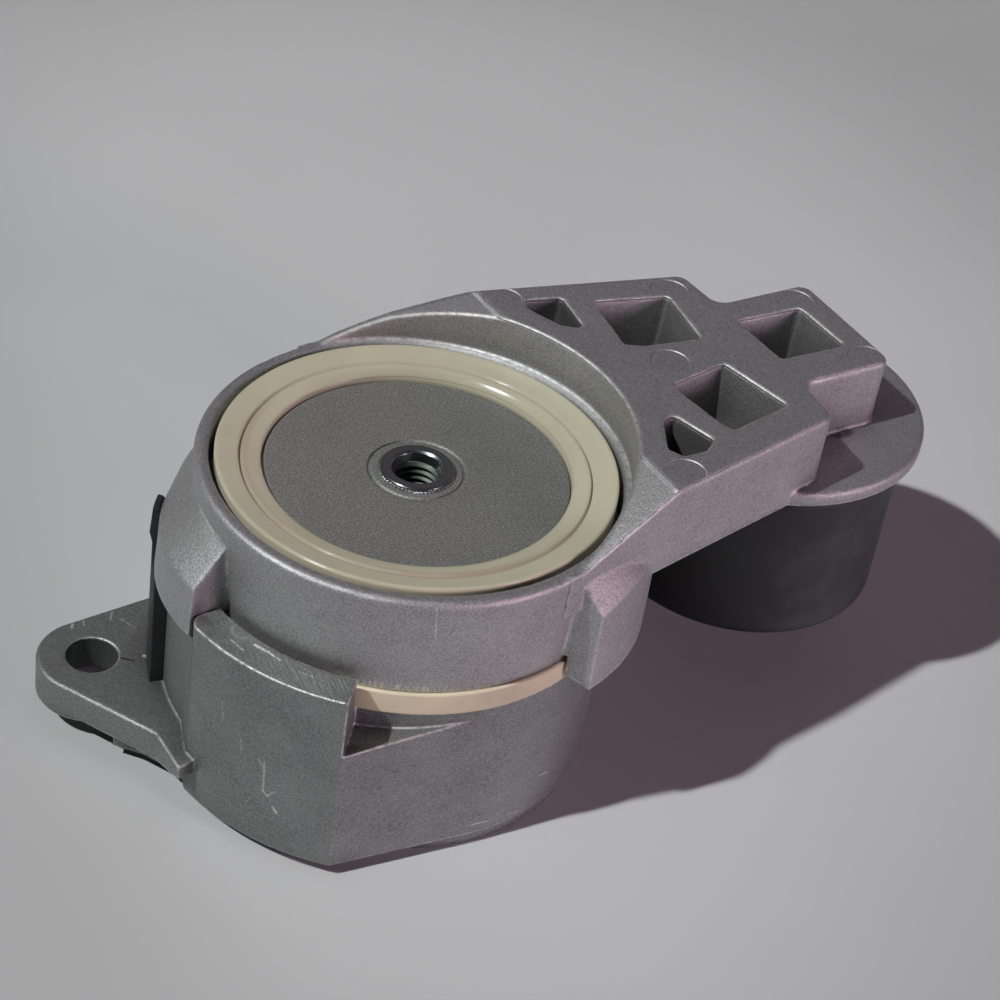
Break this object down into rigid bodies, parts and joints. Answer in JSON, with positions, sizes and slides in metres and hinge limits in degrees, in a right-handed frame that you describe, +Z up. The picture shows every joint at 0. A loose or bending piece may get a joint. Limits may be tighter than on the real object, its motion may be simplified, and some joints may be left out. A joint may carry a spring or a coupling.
{
  "type": "belt tensioner",
  "caption": "Automatic belt tensioner: a ribbed cast arm with a smooth idler pulley swings on a spring case with a mounting ear; a cream ring and a grey disc cap the hub.",
  "frame": {"origin": "pivot axis at the case's underside", "axes": "+Z up along the pivot axis, +X from the pivot axis to the pulley axis at rest"},
  "size_m": [0.1889, 0.0936, 0.075],
  "materials": {
    "cast_aluminium": "die-cast, fine grain, dull",
    "machined_steel": "turned, satin",
    "disc_steel": "pressed, grey, matte",
    "cream_nylon": "semi-gloss",
    "peach_nylon": "satin",
    "spring_steel": "oiled, dark",
    "black_rubber": "matte",
    "bolt_steel": "zinc plated",
    "bearing_steel": "ground",
    "pulley_plastic": "satin",
    "seal_rubber": "matte",
    "bush_bronze": "plain",
    "cage_plastic": "plain"
  },
  "bodies": {
    "base": {"spring_case": "cast_aluminium", "pivot_tube": "machined_steel", "cap_plate": "disc_steel", "upper_thrust_ring": "cream_nylon", "damping_bushing": "peach_nylon", "torsion_spring": "spring_steel", "spring_seat": "peach_nylon", "case_buffer_strip": "black_rubber"},
    "arm": {"tensioner_arm": "cast_aluminium", "pivot_bushing": "bush_bronze", "arm_buffer_strip": "black_rubber", "pulley_bolt": "bolt_steel", "dust_shield": "disc_steel", "bearing_inner_ring": "bearing_steel"},
    "pulley": {"pulley_shell": "pulley_plastic", "bearing_outer_ring": "bearing_steel", "upper_seal": "seal_rubber", "lower_seal": "seal_rubber"},
    "ball_set": {"bearing_balls": "bearing_steel", "ball_cage": "cage_plastic"}
  },
  "joints": [
    {"name": "arm_pivot", "type": "hinge", "parent": "base", "child": "arm", "pos_m": [0, 0, 0.05], "axis": [0, 0, 1], "range_deg": [-57, 0], "stiffness_Nm_per_rad": 25, "springref_deg": 34.38, "deforming": ["torsion_spring"]},
    {"name": "pulley_spin", "type": "hinge", "parent": "arm", "child": "pulley", "pos_m": [0.0872, 0, 0.036], "axis": [0, 0, 1], "continuous": true},
    {"name": "ball_set_spin", "type": "hinge", "parent": "arm", "child": "ball_set", "pos_m": [0.0872, 0, 0.036], "axis": [0, 0, 1], "continuous": true}
  ],
  "couplings": [
    {"joint": "ball_set_spin", "follows": "pulley_spin", "ratio": 0.63125}
  ]
}
